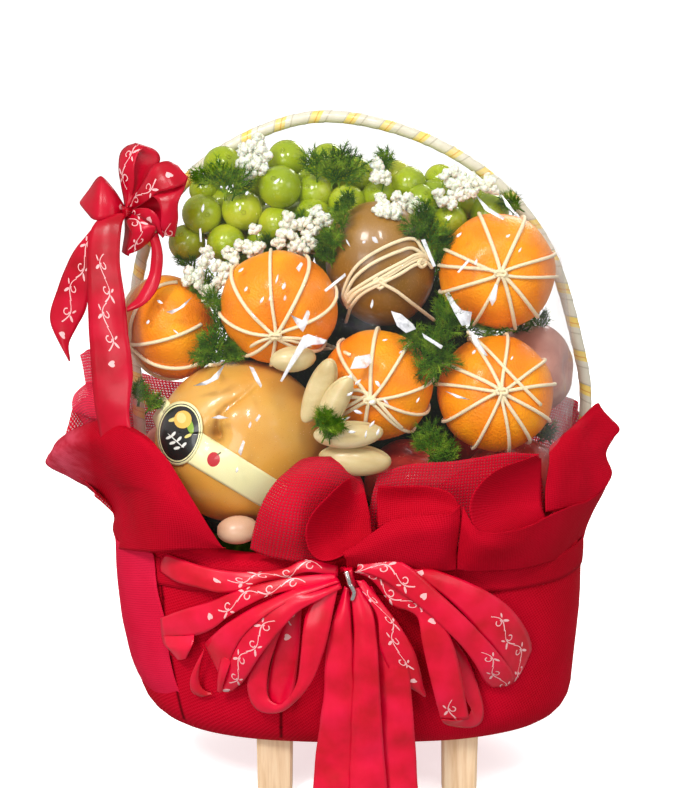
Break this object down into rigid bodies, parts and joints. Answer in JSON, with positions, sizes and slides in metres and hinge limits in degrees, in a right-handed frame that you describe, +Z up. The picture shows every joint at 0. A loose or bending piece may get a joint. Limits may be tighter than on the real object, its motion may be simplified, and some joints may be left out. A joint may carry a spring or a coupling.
{
  "type": "fruit gift basket",
  "caption": "Fruit gift basket: a heap of tied mandarins, pear, grapes and greens under clear film, in a red cloth-wrapped oval tub with a ruffled collar, satin bows and an arched handle",
  "frame": {"origin": "centre of the bounding box, on the ground under the feet", "axes": "+Z up, -Y is the front with the large bow and the pear's label, +X to the viewer's right"},
  "size_m": [0.3704, 0.2735, 0.4263],
  "materials": {
    "cloth": "red open-weave mesh cloth",
    "satin": "glossy red satin ribbon",
    "wood": "plain pale wood",
    "packing": "dark green foam and leaves",
    "wrap": "cream tape wound on a cane, yellow marks",
    "mandarin": "orange peel",
    "cord": "cream cord",
    "red_fruit": "dark red peel with pale specks",
    "plum": "pale pinkish peel",
    "pear": "golden pear skin",
    "label": "cream paper band with a dark oval",
    "brown_fruit": "brown fuzzy peel",
    "grape": "yellow-green skin",
    "pod": "cream shell",
    "fern": "fine dark green fronds",
    "flower": "small white blossoms",
    "film": "clear crisp film",
    "silver": "silver wire tie"
  },
  "bodies": {
    "root": {"wrapped_tub": "cloth", "collar": "cloth", "foot_1": "wood", "foot_2": "wood", "foot_3": "wood", "foot_4": "wood", "greens_core": "packing", "handle": "wrap", "mandarin_1": "mandarin", "mandarin_1_tie": "cord", "mandarin_2": "mandarin", "mandarin_2_tie": "cord", "mandarin_3": "mandarin", "mandarin_3_tie": "cord", "mandarin_4": "mandarin", "mandarin_4_tie": "cord", "mandarin_5": "mandarin", "mandarin_5_tie": "cord", "mandarin_6": "mandarin", "mandarin_6_tie": "cord", "mandarin_7": "mandarin", "mandarin_7_tie": "cord", "red_fruit_1": "red_fruit", "red_fruit_2": "red_fruit", "red_fruit_3": "red_fruit", "red_fruit_4": "red_fruit", "red_fruit_5": "red_fruit", "red_fruit_6": "red_fruit", "plum_1": "plum", "plum_2": "plum", "pear": "pear", "pear_label": "label", "brown_fruit": "brown_fruit", "brown_fruit_tie": "cord", "grape_heap": "grape", "cream_pod_1": "pod", "cream_pod_2": "pod", "cream_pod_3": "pod", "cream_pod_4": "pod", "cream_pod_5": "pod", "fern_tuft_1": "fern", "fern_tuft_2": "fern", "fern_tuft_3": "fern", "fern_tuft_4": "fern", "fern_tuft_5": "fern", "fern_tuft_6": "fern", "fern_tuft_7": "fern", "fern_tuft_8": "fern", "fern_tuft_9": "fern", "fern_tuft_10": "fern", "flower_spray_1": "flower", "flower_spray_2": "flower", "flower_spray_3": "flower", "flower_spray_4": "flower", "flower_spray_5": "flower", "film_cover": "film", "waist_ribbon": "satin", "front_bow": "satin", "handle_bow": "satin", "silver_tie": "silver"}
  },
  "joints": []
}
